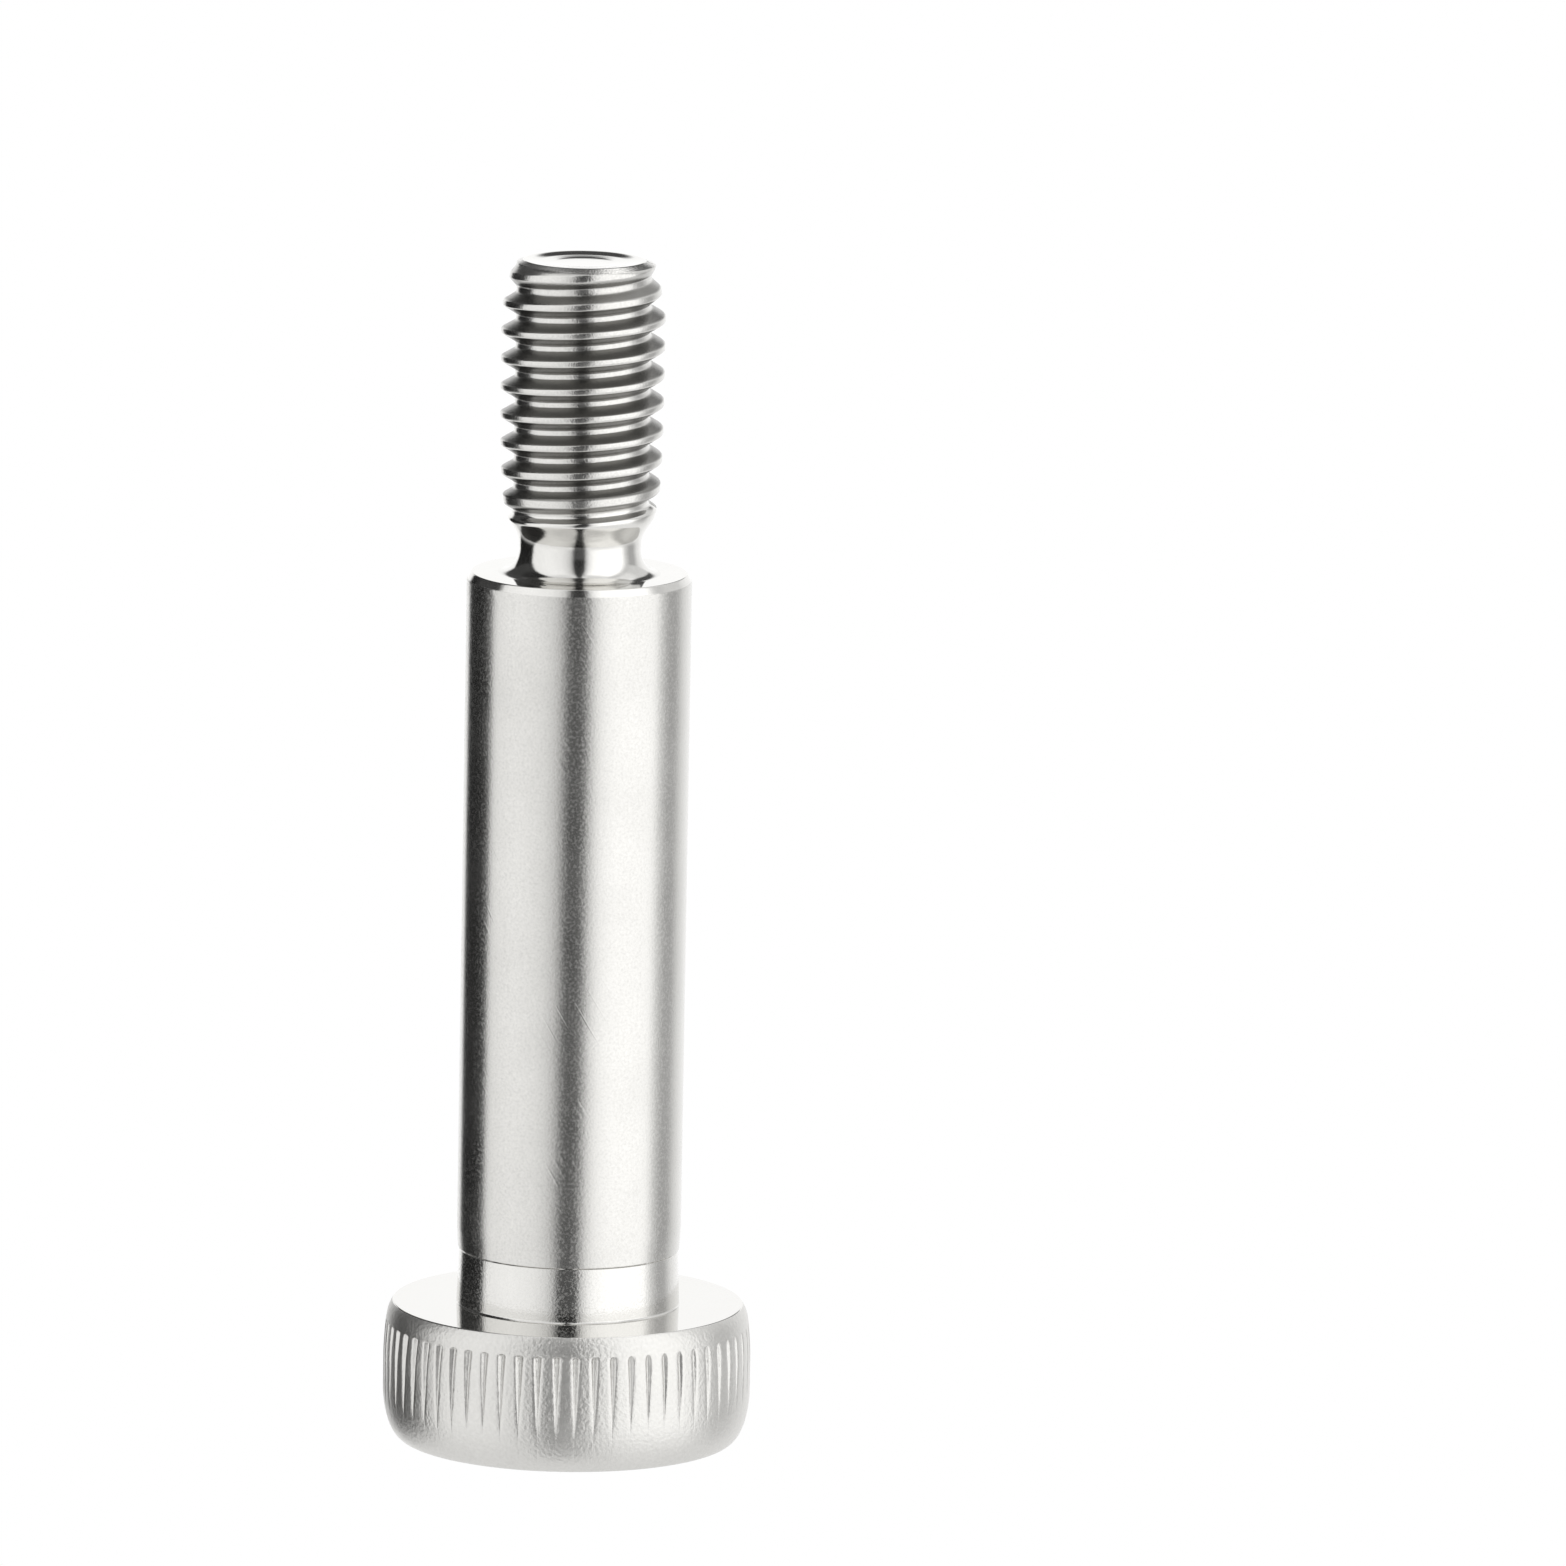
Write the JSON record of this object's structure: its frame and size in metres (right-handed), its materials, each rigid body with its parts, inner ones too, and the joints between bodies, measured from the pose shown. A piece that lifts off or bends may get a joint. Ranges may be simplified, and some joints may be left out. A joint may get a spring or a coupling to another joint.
{
  "type": "shoulder bolt",
  "caption": "Hexagon socket head shoulder bolt: knurled head, ground shoulder and short threaded end, for a pivot, guide or stop.",
  "frame": {"origin": "centre of the head's end face, on which the bolt stands", "axes": "+Z along the bolt's axis from the head to the threaded tip; +X towards a corner of the hexagon socket, +Y square to a pair of its flats"},
  "size_m": [0.013, 0.013, 0.0425],
  "materials": {
    "stainless_steel": "satin, ground shoulder and polished turned faces"
  },
  "bodies": {
    "root": {"shoulder_bolt": "stainless_steel"}
  },
  "joints": []
}
